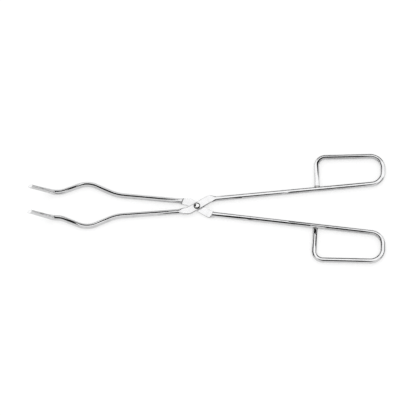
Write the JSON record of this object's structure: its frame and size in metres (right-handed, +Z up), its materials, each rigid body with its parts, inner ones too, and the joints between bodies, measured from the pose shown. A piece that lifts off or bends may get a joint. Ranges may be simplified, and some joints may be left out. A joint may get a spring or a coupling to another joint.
{
  "type": "crucible tongs",
  "caption": "Wire crucible tongs with a half-lapped riveted pivot, bowed jaws, upturned serrated tips and closed finger loops.",
  "frame": {"origin": "on the pivot axis, at the plane the wires and the lower pad rest on", "axes": "+X from the pivot towards the finger loops, -X towards the jaws, +Z up along the pivot axis, the side that the jaw tips turn up to, +Y to the side of the upper arm's loop"},
  "size_m": [0.3054, 0.0975, 0.0227],
  "materials": {
    "wire_steel": "bright polished steel wire, faint lengthwise draw lines",
    "rivet_steel": "polished rivet head with fine hammer marks",
    "weld_metal": "dull grey resistance weld, lightly cleaned"
  },
  "bodies": {
    "lower_body": {"lower_arm": "wire_steel", "pivot_rivet": "rivet_steel", "lower_loop_weld": "weld_metal"},
    "upper_body": {"upper_arm": "wire_steel", "upper_loop_weld": "weld_metal"}
  },
  "joints": [
    {"name": "pivot_hinge", "type": "hinge", "parent": "lower_body", "child": "upper_body", "pos_m": [0, 0, 0], "axis": [0, 0, 1], "range_deg": [-7.8, 100]}
  ]
}
